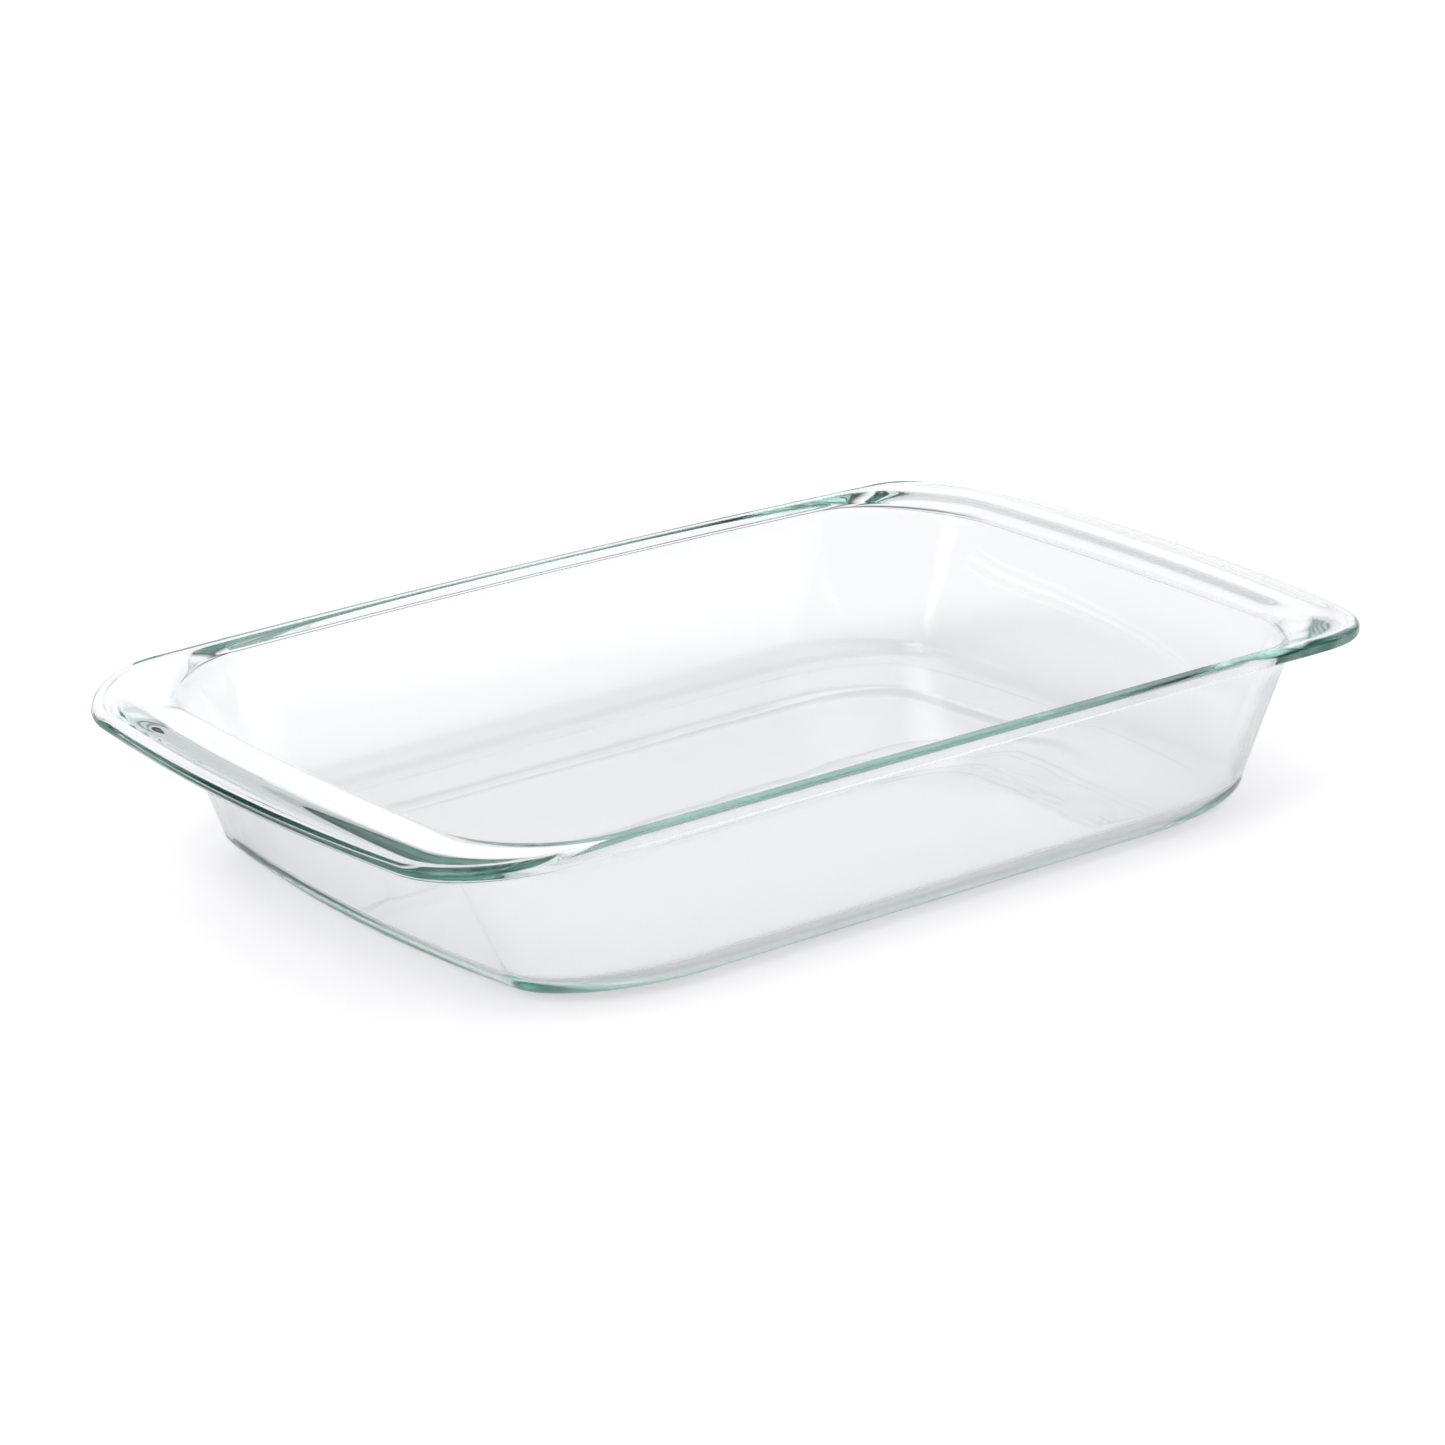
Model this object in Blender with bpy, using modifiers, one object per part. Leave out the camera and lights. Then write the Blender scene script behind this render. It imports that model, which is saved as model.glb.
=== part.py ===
"""Oblong glass baking dish with a wing handle at each end, pressed in one piece.

Metres, +Z up, +X along the length. The origin is the centre of the underside, on the plane it rests on.

The dish is one closed loft. Its stations are rounded-rectangle outlines, listed in the order that a line
drawn along the cross-section meets them: underside, bottom corner, outside wall, lip, rim, inside wall,
floor. A station has its own size on the long sides and on the ends, because the section through an end has
a handle and the section through a side has only a narrow lip. One quarter is built, then mirrored twice.
"""

from collections import namedtuple
from math import atan, cos, pi, sin, sqrt

import bmesh
import bpy

# Opening, measured where the inside wall meets the rim
OPENING_HALF_LENGTH = 0.1645
OPENING_HALF_WIDTH = 0.1067
OPENING_CORNER = 0.0380
OPENING_END_BOW = 0.0050
OPENING_SIDE_BOW = 0.0024

# Height of the rim at its corners, and how much higher it stands halfway along a side
HEIGHT = 0.0583
SIDE_CROWN = 0.0015

# Walls and floor
WALL = 0.0040
FLOOR = 0.0048
END_INSET = 0.0267
SIDE_INSET = 0.0058
BASE_CORNER = 0.0290
BASE_RUN = 0.0500
BASE_END_BOW = 0.0125
BOTTOM_RADIUS = 0.0125
BASE_CORNER_LOSS = 0.5

# Foot: the flat band that touches the table, round a shallow recess
FOOT_WIDTH = 0.0170
FOOT_SLOPE = 0.0140
RECESS = 0.0003
RECESS_CORNER = 0.0180
RECESS_RUN = 0.0260

# Rim and the lip along the long sides
CREST_RADIUS = 0.0024
LIP_WIDTH = 0.0068
LIP_HEIGHT = 0.0043
LIP_TOP_RADIUS = 0.0019
LIP_EDGE_RADIUS = 0.0004
LIP_ROOT = 0.0004

# Handles
END_CREST_RADIUS = 0.0090
HANDLE_REACH = 0.0229
HANDLE_END_BOW = 0.0102
HANDLE_CORNER = 0.0322
HANDLE_DROP = 0.0053
HANDLE_BEAD = 0.0023
HANDLE_ROOT = 0.0040
PLATE_FALL = 0.0150
BEAD_STEP = 0.0006
BEAD_FLANK = 0.0019
UNDERSIDE_RISE = 0.0007

# How finely the loft is divided: spans along a quarter outline, and along each stretch of the section
FOOT_SPANS = 2
END_SPANS = 5
CORNER_SPANS = 11
SIDE_SPANS = 6
BOTTOM_SPANS = 6
WALL_SPANS = 2
ROOT_SPANS = 3
EDGE_SPANS = 4
TOP_SPANS = 11
UNDER_SPANS = 8
CREST_SPANS = 4

MERGE = 0.00001
SMOOTH_ANGLE = 0.7
GLASS_COLOUR = (0.86, 0.95, 0.92, 1.0)
GLASS_ROUGHNESS = 0.03
GLASS_INDEX = 1.5

Station = namedtuple("Station", "half_length half_width corner run end_bow side_bow z_end z_side")

WALL_TOP = HEIGHT - CREST_RADIUS
END_LEAN = END_INSET / WALL_TOP
SIDE_LEAN = SIDE_INSET / WALL_TOP


def mix(a, b, share):
    """The value that lies this share of the way from a to b."""
    return a + (b - a) * share


def smooth(share):
    """Ease from 0 to 1 with a flat start and a flat end."""
    return share * share * (3.0 - 2.0 * share)


def shares(spans):
    """0 to 1 in this many equal steps, both ends included."""
    return [step / spans for step in range(spans + 1)]


def wall_station(z_end, z_side, inward):
    """An outline on the wall, moved inward from its outside face by a horizontal distance."""
    up = z_side / WALL_TOP
    return Station(
        OPENING_HALF_LENGTH + WALL - END_LEAN * (WALL_TOP - z_end) - inward,
        OPENING_HALF_WIDTH + WALL - SIDE_LEAN * (WALL_TOP - z_side) - inward,
        mix(BASE_CORNER, OPENING_CORNER + WALL, up) - inward,
        mix(BASE_RUN, OPENING_CORNER + WALL, up) - inward,
        mix(BASE_END_BOW, OPENING_END_BOW, up),
        OPENING_SIDE_BOW * up,
        z_end,
        z_side,
    )


def fillet_centre(wall_at_zero, lean, radius, floor_z):
    """How far out the centre of a bottom corner lies, when it meets both the floor and the leaning wall."""
    return wall_at_zero + (floor_z + radius) * lean - radius * sqrt(1.0 + lean * lean)


def bottom_corner(inward, floor_z, radius):
    """Stations round the corner between floor and wall, from the floor up to the wall."""
    base = wall_station(0.0, 0.0, inward)
    end_centre = fillet_centre(base.half_length, END_LEAN, radius, floor_z)
    side_centre = fillet_centre(base.half_width, SIDE_LEAN, radius, floor_z)
    flat_corner = base.corner - BASE_CORNER_LOSS * radius
    flat_run = base.run - BASE_CORNER_LOSS * radius
    stations = []
    for share in shares(BOTTOM_SPANS):
        end_angle = mix(pi / 2, atan(END_LEAN), share)
        side_angle = mix(pi / 2, atan(SIDE_LEAN), share)
        z_end = floor_z + radius * (1.0 - sin(end_angle))
        z_side = floor_z + radius * (1.0 - sin(side_angle))
        on_wall = wall_station(z_end, z_side, inward)
        stations.append(
            Station(
                end_centre + radius * cos(end_angle),
                side_centre + radius * cos(side_angle),
                mix(flat_corner, on_wall.corner, share),
                mix(flat_run, on_wall.run, share),
                on_wall.end_bow,
                on_wall.side_bow,
                z_end,
                z_side,
            )
        )
    return stations


def wall_run(start, finish, inward):
    """Stations strictly between two heights on the wall, each height given as (z_end, z_side)."""
    inner_shares = shares(WALL_SPANS)[1:-1]
    return [
        wall_station(mix(start[0], finish[0], share), mix(start[1], finish[1], share), inward)
        for share in inner_shares
    ]


def rim_station(u_end, u_side, z_end, z_side):
    """An outline on the rim, its place given outward from the opening on the ends and on the sides."""
    out = u_end / HANDLE_REACH
    corner = mix(OPENING_CORNER, HANDLE_CORNER, out)
    return Station(
        OPENING_HALF_LENGTH + u_end,
        OPENING_HALF_WIDTH + u_side,
        corner,
        corner,
        mix(OPENING_END_BOW, HANDLE_END_BOW, out),
        OPENING_SIDE_BOW,
        z_end,
        z_side,
    )


def foot():
    """The recess under the floor and the step down to the flat band round it, from the middle outwards."""
    edge = bottom_corner(0.0, 0.0, BOTTOM_RADIUS)[0]
    stations = []
    for share in shares(FOOT_SPANS):
        inward = FOOT_WIDTH + FOOT_SLOPE * (1.0 - share)
        z = RECESS * (1.0 - smooth(share))
        stations.append(
            edge._replace(
                half_length=edge.half_length - inward,
                half_width=edge.half_width - inward,
                corner=RECESS_CORNER,
                run=RECESS_RUN,
                z_end=z,
                z_side=z,
            )
        )
    return stations


def bend(start, middle, finish, share):
    """A point of the arc that leaves start towards middle and reaches finish coming from middle."""
    return mix(mix(start, middle, share), mix(middle, finish, share), share)


def handle_root():
    """The hollow corner where the wall turns out into the lip and the handle's underside."""
    z_end = HEIGHT - HANDLE_DROP - HANDLE_BEAD + BEAD_STEP + UNDERSIDE_RISE
    z_side = HEIGHT - LIP_HEIGHT
    start = wall_station(z_end - HANDLE_ROOT, z_side - LIP_ROOT, 0.0)
    middle = wall_station(z_end, z_side, 0.0)
    finish_end = middle.half_length - OPENING_HALF_LENGTH + HANDLE_ROOT
    finish_side = middle.half_width - OPENING_HALF_WIDTH + LIP_ROOT
    finish = rim_station(finish_end, finish_side, z_end, z_side)
    return [
        Station(*[bend(*values, share) for values in zip(start, middle, finish)])
        for share in shares(ROOT_SPANS)
    ]


def underside(start):
    """The underside of the handle plate, out to where it swells into the bead; along a side, the foot of the lip."""
    finish_end = HANDLE_REACH - HANDLE_BEAD
    finish_side = LIP_WIDTH - LIP_EDGE_RADIUS
    start_end = start.half_length - OPENING_HALF_LENGTH
    start_side = start.half_width - OPENING_HALF_WIDTH
    stations = []
    for share in shares(UNDER_SPANS)[1:-1]:
        u_end = mix(start_end, finish_end, share)
        swell = smooth(max(0.0, 1.0 - (finish_end - u_end) / BEAD_FLANK))
        stations.append(
            rim_station(
                u_end,
                mix(start_side, finish_side, share),
                start.z_end - UNDERSIDE_RISE * share - BEAD_STEP * swell,
                start.z_side,
            )
        )
    return stations


def outer_edge():
    """The rolled bead round a handle, which along a side is the upright face of the lip and its two edges."""
    bead_centre = HANDLE_REACH - HANDLE_BEAD
    lower_edge = [mix(-pi / 2, 0.0, share) for share in shares(EDGE_SPANS)]
    upper_edge = [mix(0.0, pi / 2, share) for share in shares(EDGE_SPANS)]
    side_points = [
        (
            LIP_WIDTH - LIP_EDGE_RADIUS * (1.0 - cos(angle)),
            HEIGHT - LIP_HEIGHT + LIP_EDGE_RADIUS * (1.0 + sin(angle)),
        )
        for angle in lower_edge
    ]
    side_points += [
        (
            LIP_WIDTH - LIP_TOP_RADIUS * (1.0 - cos(angle)),
            HEIGHT - LIP_TOP_RADIUS * (1.0 - sin(angle)),
        )
        for angle in upper_edge
    ]
    stations = []
    for share, (u_side, z_side) in zip(shares(len(side_points) - 1), side_points):
        angle = mix(-pi / 2, pi / 2, share)
        u_end = bead_centre + HANDLE_BEAD * cos(angle)
        z_end = HEIGHT - HANDLE_DROP + HANDLE_BEAD * sin(angle)
        stations.append(rim_station(u_end, u_side, z_end, z_side))
    return stations


def crest_centre():
    """How far outside the opening the middle of the end's crest lies, so that it meets the leaning wall."""
    lean = atan(END_LEAN)
    meets = -END_LEAN * (END_CREST_RADIUS * (1.0 - sin(lean)) - CREST_RADIUS)
    return meets + END_CREST_RADIUS * cos(lean)


def rim_top():
    """The top of the lip, and of a handle: down off the bead, then the long rise to the crest at the opening."""
    start_end = HANDLE_REACH - HANDLE_BEAD
    start_side = LIP_WIDTH - LIP_TOP_RADIUS
    start_z = HEIGHT - HANDLE_DROP + HANDLE_BEAD
    crest_end = crest_centre()
    crest_side = CREST_RADIUS / cos(atan(SIDE_LEAN))
    stations = []
    for share in shares(TOP_SPANS)[1:-1]:
        u_end = mix(start_end, crest_end, share)
        flank = smooth(min(1.0, (start_end - u_end) / BEAD_FLANK))
        rise = smooth(max(0.0, 1.0 - (u_end - crest_end) / PLATE_FALL))
        stations.append(
            rim_station(
                u_end,
                mix(start_side, crest_side, share),
                mix(start_z - BEAD_STEP * flank, HEIGHT, rise),
                HEIGHT,
            )
        )
    return stations


def crest():
    """The rounding from the top of the rim down to the inside wall."""
    end_angle = atan(END_LEAN)
    side_angle = atan(SIDE_LEAN)
    crest_end = crest_centre()
    stations = []
    for share in shares(CREST_SPANS):
        at_end = mix(pi / 2, pi - end_angle, share)
        at_side = mix(pi / 2, pi - side_angle, share)
        stations.append(
            rim_station(
                crest_end + END_CREST_RADIUS * cos(at_end),
                CREST_RADIUS / cos(side_angle) + CREST_RADIUS * cos(at_side),
                HEIGHT - END_CREST_RADIUS + END_CREST_RADIUS * sin(at_end),
                WALL_TOP + CREST_RADIUS * sin(at_side),
            )
        )
    return stations


def heights(station):
    return (station.z_end, station.z_side)


def section():
    """Every station in order, from the middle of the underside to the middle of the floor."""
    outside = bottom_corner(0.0, 0.0, BOTTOM_RADIUS)
    root = handle_root()
    top = crest()
    inside = bottom_corner(WALL, FLOOR, BOTTOM_RADIUS - WALL)[::-1]
    return (
        foot()
        + outside
        + wall_run(heights(outside[-1]), heights(root[0]), 0.0)
        + root
        + underside(root[-1])
        + outer_edge()
        + rim_top()
        + top
        + wall_run(heights(top[-1]), heights(inside[0]), WALL)
        + inside
    )


def corner_point(station, turn):
    """A point of the outline before bowing, and how far it is a point of the end, from 0 to 1."""
    x = station.half_length - station.run + station.run * cos(turn)
    y = station.half_width - station.corner + station.corner * sin(turn)
    return x, y, smooth(1.0 - turn / (pi / 2))


def crowned(z, along, across):
    """A height on the wall or rim, raised towards the middle of a long side, and the more so the higher it is."""
    return z + SIDE_CROWN * (z / HEIGHT) ** 2 * across**4 * (1.0 - along**2)


def quarter_outline(station):
    """Points from the middle of the end (y = 0) round the corner to the middle of the side (x = 0)."""
    flat_x = station.half_length - station.run
    flat_y = station.half_width - station.corner
    plain = [(station.half_length, flat_y * share, 1.0) for share in shares(END_SPANS)[:-1]]
    plain += [corner_point(station, share * pi / 2) for share in shares(CORNER_SPANS)]
    plain += [(flat_x * (1.0 - share), station.half_width, 0.0) for share in shares(SIDE_SPANS)[1:]]
    points = []
    for x, y, endness in plain:
        along = x / station.half_length
        across = y / station.half_width
        points.append(
            (
                x + station.end_bow * along**4 * (1.0 - across**2),
                y + station.side_bow * across**4 * (1.0 - along**2),
                crowned(mix(station.z_side, station.z_end, endness), along, across),
            )
        )
    return points


def loft_quarter(mesh):
    """Faces between neighbouring outlines, and a flat cap at each end of the section."""
    build = bmesh.new()
    rows = [[build.verts.new(point) for point in quarter_outline(station)] for station in section()]
    for lower, upper in zip(rows, rows[1:]):
        for i in range(len(lower) - 1):
            build.faces.new((lower[i], lower[i + 1], upper[i + 1], upper[i]))
    for row in (rows[0], rows[-1]):
        middle = build.verts.new((0.0, 0.0, row[0].co.z))
        build.faces.new([middle] + row)
    bmesh.ops.recalc_face_normals(build, faces=build.faces)
    build.to_mesh(mesh)
    build.free()


def make_glass():
    material = bpy.data.materials.new("clear_glass")
    material.use_nodes = True
    shader = material.node_tree.nodes["Principled BSDF"]
    shader.inputs["Base Color"].default_value = GLASS_COLOUR
    shader.inputs["Roughness"].default_value = GLASS_ROUGHNESS
    shader.inputs["Metallic"].default_value = 0.0
    shader.inputs["IOR"].default_value = GLASS_INDEX
    shader.inputs["Transmission Weight"].default_value = 1.0
    return material


def make_dish(collection):
    mesh = bpy.data.meshes.new("glass_dish")
    loft_quarter(mesh)
    mesh.materials.append(make_glass())
    mesh.shade_smooth()
    mesh.set_sharp_from_angle(angle=SMOOTH_ANGLE)
    dish = bpy.data.objects.new("glass_dish", mesh)
    collection.objects.link(dish)
    mirror = dish.modifiers.new("other_three_quarters", "MIRROR")
    mirror.use_axis = (True, True, False)
    mirror.merge_threshold = MERGE
    return dish


def clear_scene():
    for old in list(bpy.data.objects):
        bpy.data.objects.remove(old, do_unlink=True)


def main():
    clear_scene()
    collection = bpy.data.collections.new("baking_dish")
    bpy.context.scene.collection.children.link(collection)
    make_dish(collection)


main()
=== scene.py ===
"""Looks of the oblong glass baking dish: a finely divided clear-glass loft on a white studio floor.

Everything is in metres in the frame of the CAD part: +X along the length, +Z up, origin at the middle of
the underside. The dish is modelled again here with the CAD part's dimensions and many more divisions,
because refraction shows every facet.
"""

from collections import namedtuple
from math import atan, cos, pi, radians, sin, sqrt

import bpy
from mathutils import Matrix, Vector


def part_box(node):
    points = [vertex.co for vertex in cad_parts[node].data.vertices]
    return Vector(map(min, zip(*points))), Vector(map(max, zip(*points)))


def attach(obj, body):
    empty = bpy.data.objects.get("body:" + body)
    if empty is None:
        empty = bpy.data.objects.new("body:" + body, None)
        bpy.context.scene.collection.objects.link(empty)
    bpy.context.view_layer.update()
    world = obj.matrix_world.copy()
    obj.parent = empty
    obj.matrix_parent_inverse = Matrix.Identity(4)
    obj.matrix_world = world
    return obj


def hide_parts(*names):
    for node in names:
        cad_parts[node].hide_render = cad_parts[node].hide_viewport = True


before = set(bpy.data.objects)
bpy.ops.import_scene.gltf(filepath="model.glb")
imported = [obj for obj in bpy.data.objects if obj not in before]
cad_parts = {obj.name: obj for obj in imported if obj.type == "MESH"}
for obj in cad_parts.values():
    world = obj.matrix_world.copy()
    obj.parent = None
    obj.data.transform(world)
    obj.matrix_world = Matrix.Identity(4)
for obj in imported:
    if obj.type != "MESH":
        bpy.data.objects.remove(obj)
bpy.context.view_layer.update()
dish_low, dish_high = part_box("glass_dish")

# Shape of the dish
OVERALL_LENGTH = dish_high.x - dish_low.x
OVERALL_WIDTH = dish_high.y - dish_low.y
OVERALL_HEIGHT = dish_high.z - dish_low.z

# Opening, measured where the inside wall meets the rim
OPENING_CORNER = 0.0380
OPENING_END_BOW = 0.0050
OPENING_SIDE_BOW = 0.0024

# Height of the rim at its corners, and how much higher it stands halfway along a side
SIDE_CROWN = 0.0015
HEIGHT = OVERALL_HEIGHT - SIDE_CROWN

# Walls and floor
WALL = 0.0040
FLOOR = 0.0048
END_INSET = 0.0267
SIDE_INSET = 0.0058
BASE_CORNER = 0.0290
BASE_RUN = 0.0500
BASE_END_BOW = 0.0125
BOTTOM_RADIUS = 0.0125
BASE_CORNER_LOSS = 0.5

# Foot: the flat band that touches the table, round a very shallow hollow
FOOT_WIDTH = 0.0170
FOOT_SLOPE = 0.0140
RECESS = 0.0003
RECESS_CORNER = 0.0180
RECESS_RUN = 0.0260

# Rim and the lip along the long sides
CREST_RADIUS = 0.0024
LIP_WIDTH = 0.0068
LIP_HEIGHT = 0.0043
LIP_TOP_RADIUS = 0.0019
LIP_EDGE_RADIUS = 0.0004
LIP_ROOT = 0.0004

# Handles
END_CREST_RADIUS = 0.0090
HANDLE_REACH = 0.0229
HANDLE_END_BOW = 0.0102
HANDLE_CORNER = 0.0322
HANDLE_DROP = 0.0053
HANDLE_BEAD = 0.0023
HANDLE_ROOT = 0.0040
PLATE_FALL = 0.0150
BEAD_STEP = 0.0006
BEAD_FLANK = 0.0019
UNDERSIDE_RISE = 0.0007

OPENING_HALF_LENGTH = OVERALL_LENGTH / 2 - HANDLE_REACH - HANDLE_END_BOW
OPENING_HALF_WIDTH = OVERALL_WIDTH / 2 - LIP_WIDTH - OPENING_SIDE_BOW

# How finely the loft is divided
FOOT_SPANS = 10
END_SPANS = 24
CORNER_SPANS = 56
SIDE_SPANS = 30
BOTTOM_SPANS = 18
WALL_SPANS = 8
ROOT_SPANS = 8
EDGE_SPANS = 12
TOP_SPANS = 44
UNDER_SPANS = 16
CREST_SPANS = 14

# How close points on a mirror plane must be to be joined
MERGE = 0.00001

# Glass. What is left of light after a metre is exp(density * (colour - 1)) in each colour. The scales are
# features a metre, the depths are metres, and the noise between the two rub levels turns polished to rubbed.
GLASS_IOR = 1.51
GLASS_COLOUR = (0.18, 0.74, 0.61, 1.0)
GLASS_DENSITY = 3.2
SWELL_SCALE = 28.0
SWELL_DEPTH = 0.00008
CHILL_SCALE = 110.0
CHILL_DEPTH = 0.000003
RUB_SCALE = 60.0
RUB_LEVELS = (0.5, 0.8)
POLISHED = 0.0
RUBBED = 0.012
CORD_STRETCH = (0.25, 1.0, 1.0)
CORD_SCALE = 70.0
CORD_TINT = (0.996, 0.998, 0.997, 1.0)
CLEAR_TINT = (1.0, 1.0, 1.0, 1.0)

# Camera. Azimuth is counted from straight in front of the long side, towards +X.
CAMERA_AZIMUTH = radians(-38.31)
CAMERA_ELEVATION = radians(19.57)
CAMERA_ROLL = radians(-0.28)
CAMERA_DISTANCE = 1.5878
CAMERA_TARGET = Vector((-0.0019, 0.0066, 0.0315))
CAMERA_LENS = 120.87
SENSOR_WIDTH = 36.0
CLIP_START = 0.05
CLIP_END = 50.0
QUARTER_TURN = radians(90.0)
CAMERA_FORWARD = QUARTER_TURN + CAMERA_AZIMUTH

# Studio light, as soft panels on a far dim sphere: azimuth from the camera's forward line, positive to its
# left; elevation; angular radius of the even middle; angular radius where it has faded out; strength
BACKDROP = (3.0, 23.0, 8.0, 37.0, 0.98)
KEY_PANEL = (128.0, 52.0, 6.0, 24.0, 3.4)
FILL_PANEL = (245.0, 62.0, 8.0, 38.0, 1.2)
TOP_PANEL = (0.0, 90.0, 10.0, 35.0, 0.15)
STRIP_PANEL = (132.0, 24.0, 2.0, 9.0, 2.5)
PANELS = (BACKDROP, KEY_PANEL, FILL_PANEL, TOP_PANEL, STRIP_PANEL)
DIM_LEVEL = 0.12
LIGHT_COLOUR = (0.975, 0.968, 1.0, 1.0)
SEEN_LEVEL = 1.2
WHITE = (1.0, 1.0, 1.0, 1.0)

# Floor: its own glow, what is added where the camera sees it bare, and a painted soft shadow round the dish,
# drawn by dimming that glow where the dish is near
FLOOR_HALF_SIZE = 6.0
FLOOR_HEIGHT = -0.0002
FLOOR_COLOUR = (0.92, 0.92, 0.92, 1.0)
FLOOR_ROUGHNESS = 0.6
FLOOR_GLOW = 0.40
FLOOR_GLOW_SEEN = 0.17
FLOOR_GLOW_IN_EDGES = 0.05
GLOW_REFLECTIONS = 3.0
PAINTED_CONTACT_SHADE = 0.20
PAINTED_SHADE_REACH = 0.08

# Light goes round many times inside the rim and the base before it leaves
LIGHT_BOUNCES = 128
GLOSSY_BOUNCES = 64

Station = namedtuple("Station", "half_length half_width corner run end_bow side_bow z_end z_side")

WALL_TOP = HEIGHT - CREST_RADIUS
END_LEAN = END_INSET / WALL_TOP
SIDE_LEAN = SIDE_INSET / WALL_TOP


def mix(a, b, share):
    """The value that lies this share of the way from a to b."""
    return a + (b - a) * share


def smooth(share):
    """Ease from 0 to 1 with a flat start and a flat end."""
    return share * share * (3.0 - 2.0 * share)


def shares(spans):
    """0 to 1 in this many equal steps, both ends included."""
    return [step / spans for step in range(spans + 1)]


def wall_station(z_end, z_side, inward):
    """An outline on the wall, moved inward from its outside face by a horizontal distance."""
    up = z_side / WALL_TOP
    return Station(
        OPENING_HALF_LENGTH + WALL - END_LEAN * (WALL_TOP - z_end) - inward,
        OPENING_HALF_WIDTH + WALL - SIDE_LEAN * (WALL_TOP - z_side) - inward,
        mix(BASE_CORNER, OPENING_CORNER + WALL, up) - inward,
        mix(BASE_RUN, OPENING_CORNER + WALL, up) - inward,
        mix(BASE_END_BOW, OPENING_END_BOW, up),
        OPENING_SIDE_BOW * up,
        z_end,
        z_side,
    )


def fillet_centre(wall_at_zero, lean, radius, floor_z):
    """How far out the centre of a bottom corner lies, to meet both the floor and the leaning wall."""
    return wall_at_zero + (floor_z + radius) * lean - radius * sqrt(1.0 + lean * lean)


def bottom_corner(inward, floor_z, radius):
    """Stations round the corner between floor and wall, from the floor up to the wall."""
    base = wall_station(0.0, 0.0, inward)
    end_centre = fillet_centre(base.half_length, END_LEAN, radius, floor_z)
    side_centre = fillet_centre(base.half_width, SIDE_LEAN, radius, floor_z)
    flat_corner = base.corner - BASE_CORNER_LOSS * radius
    flat_run = base.run - BASE_CORNER_LOSS * radius
    stations = []
    for share in shares(BOTTOM_SPANS):
        end_angle = mix(pi / 2, atan(END_LEAN), share)
        side_angle = mix(pi / 2, atan(SIDE_LEAN), share)
        z_end = floor_z + radius * (1.0 - sin(end_angle))
        z_side = floor_z + radius * (1.0 - sin(side_angle))
        on_wall = wall_station(z_end, z_side, inward)
        stations.append(
            Station(
                end_centre + radius * cos(end_angle),
                side_centre + radius * cos(side_angle),
                mix(flat_corner, on_wall.corner, share),
                mix(flat_run, on_wall.run, share),
                on_wall.end_bow,
                on_wall.side_bow,
                z_end,
                z_side,
            )
        )
    return stations


def wall_run(start, finish, inward):
    """Stations strictly between two heights on the wall, each height given as (z_end, z_side)."""
    inner_shares = shares(WALL_SPANS)[1:-1]
    return [
        wall_station(mix(start[0], finish[0], share), mix(start[1], finish[1], share), inward)
        for share in inner_shares
    ]


def rim_station(u_end, u_side, z_end, z_side):
    """An outline on the rim, its place given outward from the opening on the ends and on the sides."""
    out = u_end / HANDLE_REACH
    corner = mix(OPENING_CORNER, HANDLE_CORNER, out)
    return Station(
        OPENING_HALF_LENGTH + u_end,
        OPENING_HALF_WIDTH + u_side,
        corner,
        corner,
        mix(OPENING_END_BOW, HANDLE_END_BOW, out),
        OPENING_SIDE_BOW,
        z_end,
        z_side,
    )


def foot():
    """The hollow under the floor and the slope to the flat band round it, from the middle outwards."""
    edge = bottom_corner(0.0, 0.0, BOTTOM_RADIUS)[0]
    stations = []
    for share in shares(FOOT_SPANS):
        inward = FOOT_WIDTH + FOOT_SLOPE * (1.0 - share)
        z = RECESS * (1.0 - smooth(share))
        stations.append(
            edge._replace(
                half_length=edge.half_length - inward,
                half_width=edge.half_width - inward,
                corner=RECESS_CORNER,
                run=RECESS_RUN,
                z_end=z,
                z_side=z,
            )
        )
    return stations


def bend(start, middle, finish, share):
    """A point of the arc that leaves start towards middle and reaches finish coming from middle."""
    return mix(mix(start, middle, share), mix(middle, finish, share), share)


def handle_root():
    """The hollow corner where the wall turns out into the lip and the handle's underside."""
    z_end = HEIGHT - HANDLE_DROP - HANDLE_BEAD + BEAD_STEP + UNDERSIDE_RISE
    z_side = HEIGHT - LIP_HEIGHT
    start = wall_station(z_end - HANDLE_ROOT, z_side - LIP_ROOT, 0.0)
    middle = wall_station(z_end, z_side, 0.0)
    finish_end = middle.half_length - OPENING_HALF_LENGTH + HANDLE_ROOT
    finish_side = middle.half_width - OPENING_HALF_WIDTH + LIP_ROOT
    finish = rim_station(finish_end, finish_side, z_end, z_side)
    return [
        Station(*[bend(*values, share) for values in zip(start, middle, finish)])
        for share in shares(ROOT_SPANS)
    ]


def underside(start):
    """The underside of a handle plate, out to its bead; along a side, the foot of the lip."""
    finish_end = HANDLE_REACH - HANDLE_BEAD
    finish_side = LIP_WIDTH - LIP_EDGE_RADIUS
    start_end = start.half_length - OPENING_HALF_LENGTH
    start_side = start.half_width - OPENING_HALF_WIDTH
    stations = []
    for share in shares(UNDER_SPANS)[1:-1]:
        u_end = mix(start_end, finish_end, share)
        swell = smooth(max(0.0, 1.0 - (finish_end - u_end) / BEAD_FLANK))
        stations.append(
            rim_station(
                u_end,
                mix(start_side, finish_side, share),
                start.z_end - UNDERSIDE_RISE * share - BEAD_STEP * swell,
                start.z_side,
            )
        )
    return stations


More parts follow.
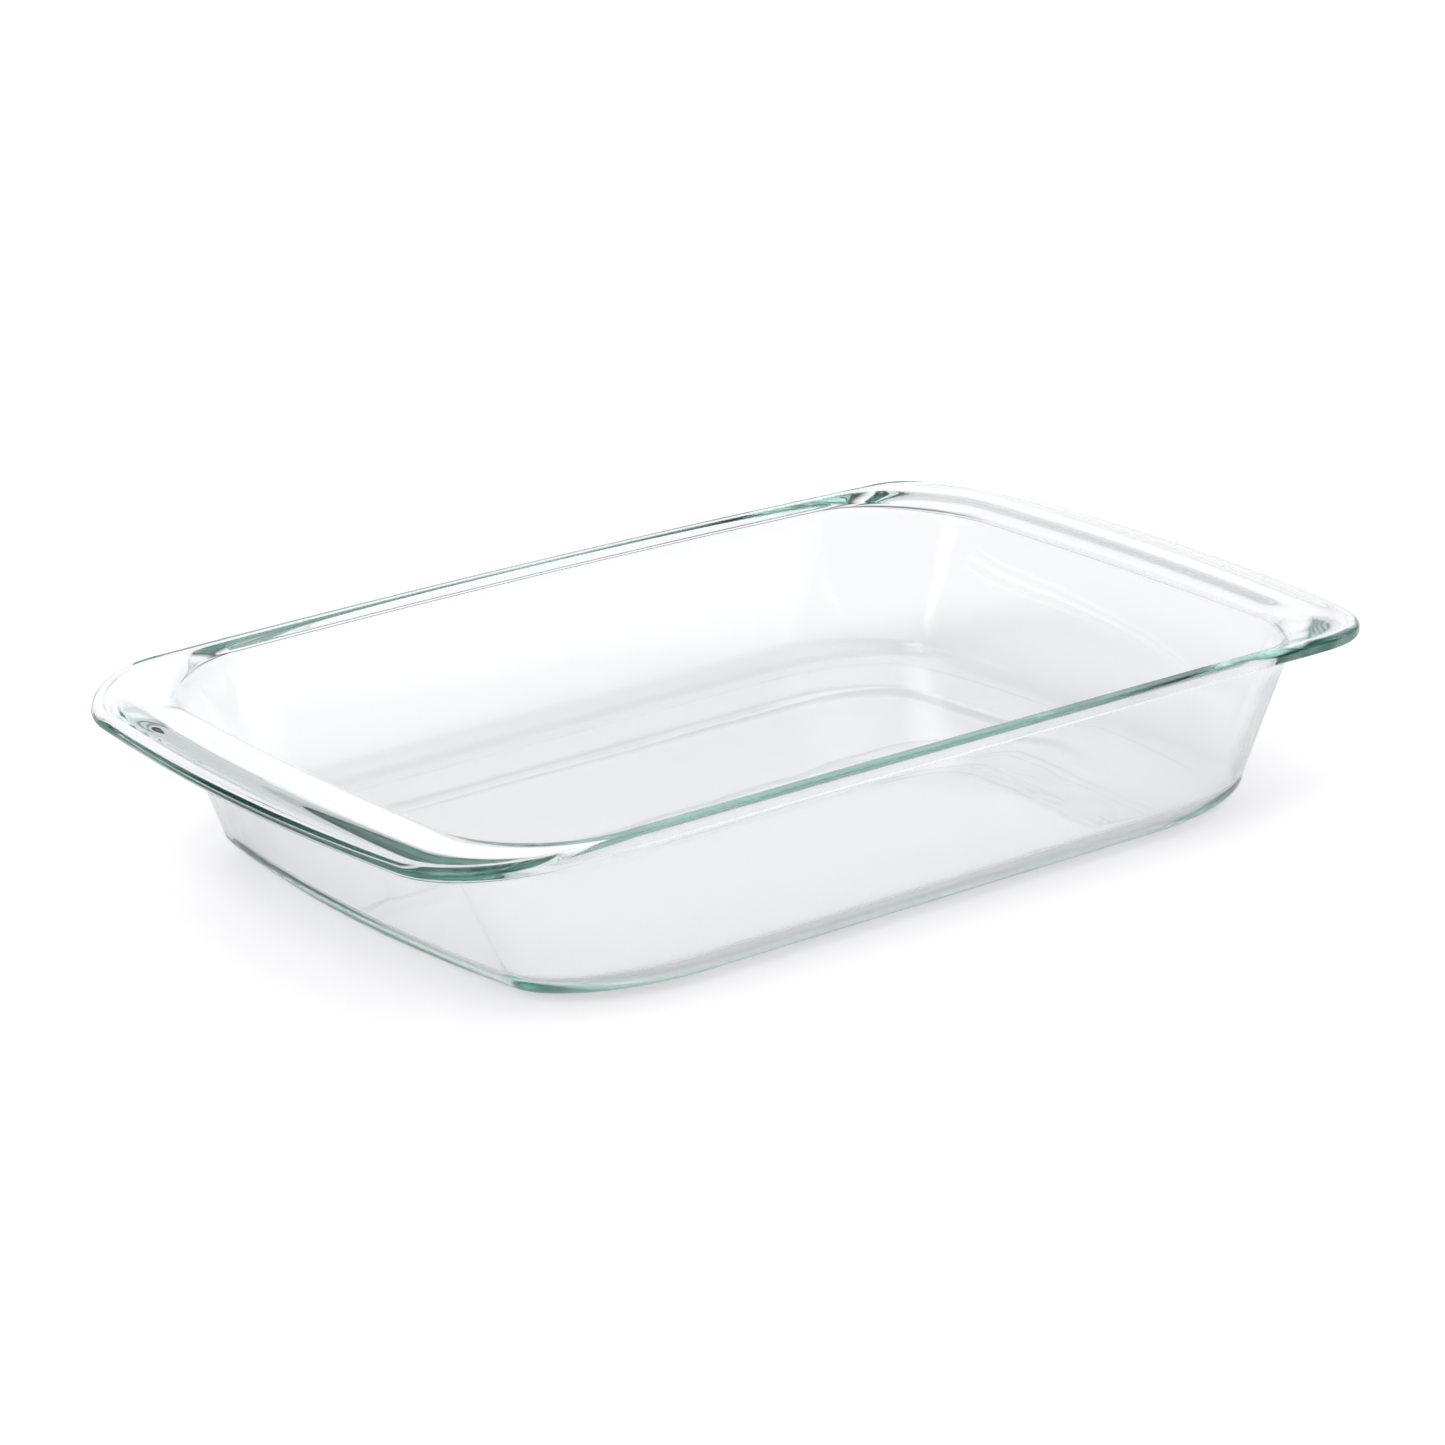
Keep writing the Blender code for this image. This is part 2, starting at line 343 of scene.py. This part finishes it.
def outer_edge():
    """The rolled bead round a handle; along a side, the upright face of the lip and its two edges."""
    bead_centre = HANDLE_REACH - HANDLE_BEAD
    lower_edge = [mix(-pi / 2, 0.0, share) for share in shares(EDGE_SPANS)]
    upper_edge = [mix(0.0, pi / 2, share) for share in shares(EDGE_SPANS)]
    side_points = [
        (
            LIP_WIDTH - LIP_EDGE_RADIUS * (1.0 - cos(angle)),
            HEIGHT - LIP_HEIGHT + LIP_EDGE_RADIUS * (1.0 + sin(angle)),
        )
        for angle in lower_edge
    ]
    side_points += [
        (
            LIP_WIDTH - LIP_TOP_RADIUS * (1.0 - cos(angle)),
            HEIGHT - LIP_TOP_RADIUS * (1.0 - sin(angle)),
        )
        for angle in upper_edge
    ]
    stations = []
    for share, (u_side, z_side) in zip(shares(len(side_points) - 1), side_points):
        angle = mix(-pi / 2, pi / 2, share)
        u_end = bead_centre + HANDLE_BEAD * cos(angle)
        z_end = HEIGHT - HANDLE_DROP + HANDLE_BEAD * sin(angle)
        stations.append(rim_station(u_end, u_side, z_end, z_side))
    return stations


def crest_centre():
    """How far outside the opening the middle of the end's crest lies, to meet the leaning wall."""
    lean = atan(END_LEAN)
    meets = -END_LEAN * (END_CREST_RADIUS * (1.0 - sin(lean)) - CREST_RADIUS)
    return meets + END_CREST_RADIUS * cos(lean)


def rim_top():
    """The top of the lip and of a handle: down off the bead, then the long rise to the crest."""
    start_end = HANDLE_REACH - HANDLE_BEAD
    start_side = LIP_WIDTH - LIP_TOP_RADIUS
    start_z = HEIGHT - HANDLE_DROP + HANDLE_BEAD
    crest_end = crest_centre()
    crest_side = CREST_RADIUS / cos(atan(SIDE_LEAN))
    stations = []
    for share in shares(TOP_SPANS)[1:-1]:
        u_end = mix(start_end, crest_end, share)
        flank = smooth(min(1.0, (start_end - u_end) / BEAD_FLANK))
        rise = smooth(max(0.0, 1.0 - (u_end - crest_end) / PLATE_FALL))
        stations.append(
            rim_station(
                u_end,
                mix(start_side, crest_side, share),
                mix(start_z - BEAD_STEP * flank, HEIGHT, rise),
                HEIGHT,
            )
        )
    return stations


def crest():
    """The rounding from the top of the rim down to the inside wall."""
    end_angle = atan(END_LEAN)
    side_angle = atan(SIDE_LEAN)
    crest_end = crest_centre()
    stations = []
    for share in shares(CREST_SPANS):
        at_end = mix(pi / 2, pi - end_angle, share)
        at_side = mix(pi / 2, pi - side_angle, share)
        stations.append(
            rim_station(
                crest_end + END_CREST_RADIUS * cos(at_end),
                CREST_RADIUS / cos(side_angle) + CREST_RADIUS * cos(at_side),
                HEIGHT - END_CREST_RADIUS + END_CREST_RADIUS * sin(at_end),
                WALL_TOP + CREST_RADIUS * sin(at_side),
            )
        )
    return stations


def heights(station):
    """The station's height on the ends and on the sides."""
    return (station.z_end, station.z_side)


def section():
    """Every station in order, from the middle of the underside to the middle of the floor."""
    outside = bottom_corner(0.0, 0.0, BOTTOM_RADIUS)
    root = handle_root()
    top = crest()
    inside = bottom_corner(WALL, FLOOR, BOTTOM_RADIUS - WALL)[::-1]
    return (
        foot()
        + outside
        + wall_run(heights(outside[-1]), heights(root[0]), 0.0)
        + root
        + underside(root[-1])
        + outer_edge()
        + rim_top()
        + top
        + wall_run(heights(top[-1]), heights(inside[0]), WALL)
        + inside
    )


def corner_point(station, turn):
    """A point of the outline before bowing, and how far it is a point of the end, from 0 to 1."""
    x = station.half_length - station.run + station.run * cos(turn)
    y = station.half_width - station.corner + station.corner * sin(turn)
    return x, y, smooth(1.0 - turn / (pi / 2))


def crowned(z, along, across):
    """A height on the wall or rim, raised towards the middle of a long side, most at the rim."""
    return z + SIDE_CROWN * (z / HEIGHT) ** 2 * across**4 * (1.0 - along**2)


def quarter_outline(station):
    """Points from the middle of the end (y = 0) round the corner to the middle of the side (x = 0)."""
    flat_x = station.half_length - station.run
    flat_y = station.half_width - station.corner
    plain = [(station.half_length, flat_y * share, 1.0) for share in shares(END_SPANS)[:-1]]
    plain += [corner_point(station, share * pi / 2) for share in shares(CORNER_SPANS)]
    plain += [(flat_x * (1.0 - share), station.half_width, 0.0) for share in shares(SIDE_SPANS)[1:]]
    points = []
    for x, y, endness in plain:
        along = x / station.half_length
        across = y / station.half_width
        points.append(
            (
                x + station.end_bow * along**4 * (1.0 - across**2),
                y + station.side_bow * across**4 * (1.0 - along**2),
                crowned(mix(station.z_side, station.z_end, endness), along, across),
            )
        )
    return points


def loft_quarter(mesh):
    """Faces between neighbouring outlines, and a flat cap at each end of the section."""
    rows = [quarter_outline(station) for station in section()]
    count = len(rows[0])
    points = [point for row in rows for point in row]
    faces = []
    for r in range(len(rows) - 1):
        base = r * count
        for i in range(count - 1):
            faces.append((base + i, base + i + 1, base + count + i + 1, base + count + i))
    lower_middle = len(points)
    points.append((0.0, 0.0, rows[0][0][2]))
    points.append((0.0, 0.0, rows[-1][0][2]))
    faces.append([lower_middle] + list(range(count))[::-1])
    last = (len(rows) - 1) * count
    faces.append([lower_middle + 1] + list(range(last, last + count)))
    mesh.from_pydata(points, [], faces)
    mesh.update()


def node(tree, kind, **settings):
    """A new shader node with these settings."""
    made = tree.nodes.new(kind)
    for name, value in settings.items():
        setattr(made, name, value)
    return made


def noise(tree, place, scale, detail):
    """Soft three-dimensional noise from 0 to 1, with this many features a metre."""
    made = node(tree, "ShaderNodeTexNoise")
    tree.links.new(place, made.inputs["Vector"])
    made.inputs["Scale"].default_value = scale
    made.inputs["Detail"].default_value = detail
    return made.outputs["Fac"]


def bump(tree, height, depth, normal=None):
    """Raises the surface by up to this depth, on top of another bump if one is given."""
    made = node(tree, "ShaderNodeBump")
    made.inputs["Strength"].default_value = 1.0
    made.inputs["Distance"].default_value = depth
    tree.links.new(height, made.inputs["Height"])
    if normal is not None:
        tree.links.new(normal, made.inputs["Normal"])
    return made.outputs["Normal"]


def surface_ripple(tree, place):
    """What pressing leaves in the glass: a long lazy swell, and finer chill marks on top of it."""
    swell = bump(tree, noise(tree, place, SWELL_SCALE, 1.0), SWELL_DEPTH)
    return bump(tree, noise(tree, place, CHILL_SCALE, 2.0), CHILL_DEPTH, swell)


def wear(tree, place):
    """Roughness: polished, with faint rubbed patches from use and washing."""
    rubbed = node(tree, "ShaderNodeMapRange", interpolation_type="SMOOTHSTEP")
    tree.links.new(noise(tree, place, RUB_SCALE, 4.0), rubbed.inputs["Value"])
    rubbed.inputs["From Min"].default_value = RUB_LEVELS[0]
    rubbed.inputs["From Max"].default_value = RUB_LEVELS[1]
    rubbed.inputs["To Min"].default_value = POLISHED
    rubbed.inputs["To Max"].default_value = RUBBED
    return rubbed.outputs["Result"]


def cord(tree, place):
    """Surface tint: streaks of very slightly different glass, drawn out along the dish."""
    stretch = node(tree, "ShaderNodeMapping")
    tree.links.new(place, stretch.inputs["Vector"])
    stretch.inputs["Scale"].default_value = CORD_STRETCH
    blend = node(tree, "ShaderNodeMix", data_type="RGBA")
    tree.links.new(noise(tree, stretch.outputs["Vector"], CORD_SCALE, 3.0), blend.inputs["Factor"])
    blend.inputs["A"].default_value = CORD_TINT
    blend.inputs["B"].default_value = CLEAR_TINT
    return blend.outputs["Result"]


def glass_material():
    """Soda-lime glass: clear face on, green where light runs a long way inside it."""
    material = bpy.data.materials.new("clear_glass")
    material.use_nodes = True
    tree = material.node_tree
    shader = tree.nodes["Principled BSDF"]
    out = tree.nodes["Material Output"]
    place = node(tree, "ShaderNodeTexCoord").outputs["Object"]
    tree.links.new(cord(tree, place), shader.inputs["Base Color"])
    tree.links.new(wear(tree, place), shader.inputs["Roughness"])
    tree.links.new(surface_ripple(tree, place), shader.inputs["Normal"])
    shader.inputs["IOR"].default_value = GLASS_IOR
    shader.inputs["Transmission Weight"].default_value = 1.0
    absorb = node(tree, "ShaderNodeVolumeAbsorption")
    absorb.inputs["Color"].default_value = GLASS_COLOUR
    absorb.inputs["Density"].default_value = GLASS_DENSITY
    tree.links.new(absorb.outputs["Volume"], out.inputs["Volume"])
    return material


def make_dish():
    """One quarter of the loft, mirrored twice, in place of the CAD dish."""
    mesh = bpy.data.meshes.new("dish_glass")
    loft_quarter(mesh)
    mesh.materials.append(glass_material())
    mesh.shade_smooth()
    dish = bpy.data.objects.new("dish_glass", mesh)
    bpy.context.scene.collection.objects.link(dish)
    mirror = dish.modifiers.new("other_three_quarters", "MIRROR")
    mirror.use_axis = (True, True, False)
    mirror.merge_threshold = MERGE
    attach(dish, "root")
    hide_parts("glass_dish")


def floor_glow(tree):
    """How brightly the floor glows: most where seen bare, less after each reflection in the glass, and
    dimmed near the dish as a painted shadow round its foot.
    """
    path = node(tree, "ShaderNodeLightPath")
    glow = node(tree, "ShaderNodeMapRange")
    tree.links.new(path.outputs["Glossy Depth"], glow.inputs["Value"])
    glow.inputs["From Max"].default_value = GLOW_REFLECTIONS
    glow.inputs["To Min"].default_value = FLOOR_GLOW
    glow.inputs["To Max"].default_value = FLOOR_GLOW_IN_EDGES
    # Painted shadow: where the dish is near, the glow the camera sees on the bare floor is dimmed into a
    # soft shade round its foot.
    hidden = node(tree, "ShaderNodeAmbientOcclusion")
    hidden.inputs["Distance"].default_value = PAINTED_SHADE_REACH
    seen = node(tree, "ShaderNodeMapRange")
    tree.links.new(hidden.outputs["AO"], seen.inputs["Value"])
    seen.inputs["To Min"].default_value = FLOOR_GLOW_SEEN - PAINTED_CONTACT_SHADE
    seen.inputs["To Max"].default_value = FLOOR_GLOW_SEEN
    total = node(tree, "ShaderNodeMath", operation="MULTIPLY_ADD")
    tree.links.new(path.outputs["Is Camera Ray"], total.inputs[0])
    tree.links.new(seen.outputs["Result"], total.inputs[1])
    tree.links.new(glow.outputs["Result"], total.inputs[2])
    return total.outputs["Value"]


def make_floor():
    """A white floor that glows, with a painted shadow round the dish, a hair below the foot so that the two
    don't share a plane.
    """
    size = FLOOR_HALF_SIZE
    mesh = bpy.data.meshes.new("studio_floor")
    corners = [(-size, -size), (size, -size), (size, size), (-size, size)]
    mesh.from_pydata([(x, y, FLOOR_HEIGHT) for x, y in corners], [], [(0, 1, 2, 3)])
    floor = bpy.data.objects.new("studio_floor", mesh)
    bpy.context.scene.collection.objects.link(floor)
    material = bpy.data.materials.new("studio_white")
    material.use_nodes = True
    tree = material.node_tree
    shader = tree.nodes["Principled BSDF"]
    shader.inputs["Base Color"].default_value = FLOOR_COLOUR
    shader.inputs["Roughness"].default_value = FLOOR_ROUGHNESS
    shader.inputs["Emission Color"].default_value = WHITE
    tree.links.new(floor_glow(tree), shader.inputs["Emission Strength"])
    mesh.materials.append(material)


def panel(tree, direction, azimuth, elevation, inner, outer, strength):
    """A round soft-edged light on the studio sphere, as a strength that depends on direction."""
    turn = CAMERA_FORWARD + radians(azimuth)
    rise = radians(elevation)
    dot = node(tree, "ShaderNodeVectorMath", operation="DOT_PRODUCT")
    tree.links.new(direction, dot.inputs[0])
    dot.inputs[1].default_value = (cos(turn) * cos(rise), sin(turn) * cos(rise), sin(rise))
    fall = node(tree, "ShaderNodeMapRange", interpolation_type="SMOOTHSTEP")
    tree.links.new(dot.outputs["Value"], fall.inputs["Value"])
    fall.inputs["From Min"].default_value = cos(radians(outer))
    fall.inputs["From Max"].default_value = cos(radians(inner))
    fall.inputs["To Min"].default_value = 0.0
    fall.inputs["To Max"].default_value = strength
    return fall.outputs["Result"]


def add(tree, first, second):
    """The sum of two values, each a number or a socket."""
    total = node(tree, "ShaderNodeMath", operation="ADD")
    for socket, value in zip(total.inputs, (first, second)):
        if isinstance(value, float):
            socket.default_value = value
        else:
            tree.links.new(value, socket)
    return total.outputs["Value"]


def make_world():
    """A dim studio with a few soft panels; seen directly by the camera it is all white."""
    world = bpy.data.worlds.new("studio_light")
    bpy.context.scene.world = world
    world.use_nodes = True
    tree = world.node_tree
    background = tree.nodes["Background"]
    out = tree.nodes["World Output"]
    coords = node(tree, "ShaderNodeTexCoord")
    level = DIM_LEVEL
    for lamp in PANELS:
        level = add(tree, panel(tree, coords.outputs["Generated"], *lamp), level)
    tree.links.new(level, background.inputs["Strength"])
    background.inputs["Color"].default_value = LIGHT_COLOUR
    seen = node(tree, "ShaderNodeBackground")
    seen.inputs["Color"].default_value = WHITE
    seen.inputs["Strength"].default_value = SEEN_LEVEL
    path = node(tree, "ShaderNodeLightPath")
    choose = node(tree, "ShaderNodeMixShader")
    tree.links.new(path.outputs["Is Camera Ray"], choose.inputs[0])
    tree.links.new(background.outputs[0], choose.inputs[1])
    tree.links.new(seen.outputs[0], choose.inputs[2])
    tree.links.new(choose.outputs[0], out.inputs["Surface"])


def make_camera():
    """A long lens that looks down on the dish from the front left."""
    data = bpy.data.cameras.new("photo_camera")
    camera = bpy.data.objects.new("photo_camera", data)
    bpy.context.scene.collection.objects.link(camera)
    data.lens = CAMERA_LENS
    data.sensor_width = SENSOR_WIDTH
    data.clip_start = CLIP_START
    data.clip_end = CLIP_END
    level = cos(CAMERA_ELEVATION)
    back = Vector((sin(CAMERA_AZIMUTH) * level, -cos(CAMERA_AZIMUTH) * level, sin(CAMERA_ELEVATION)))
    right = (-back).cross(Vector((0, 0, 1))).normalized()
    up = right.cross(-back)
    rolled_right = right * cos(CAMERA_ROLL) + up * sin(CAMERA_ROLL)
    rolled_up = up * cos(CAMERA_ROLL) - right * sin(CAMERA_ROLL)
    turn = Matrix((rolled_right, rolled_up, back)).transposed().to_4x4()
    camera.matrix_world = Matrix.Translation(CAMERA_TARGET + back * CAMERA_DISTANCE) @ turn
    bpy.context.scene.camera = camera


make_dish()
make_floor()
make_world()
make_camera()

scene = bpy.context.scene
scene.view_settings.view_transform = "Standard"
scene.cycles.max_bounces = LIGHT_BOUNCES
scene.cycles.transmission_bounces = LIGHT_BOUNCES
scene.cycles.glossy_bounces = GLOSSY_BOUNCES
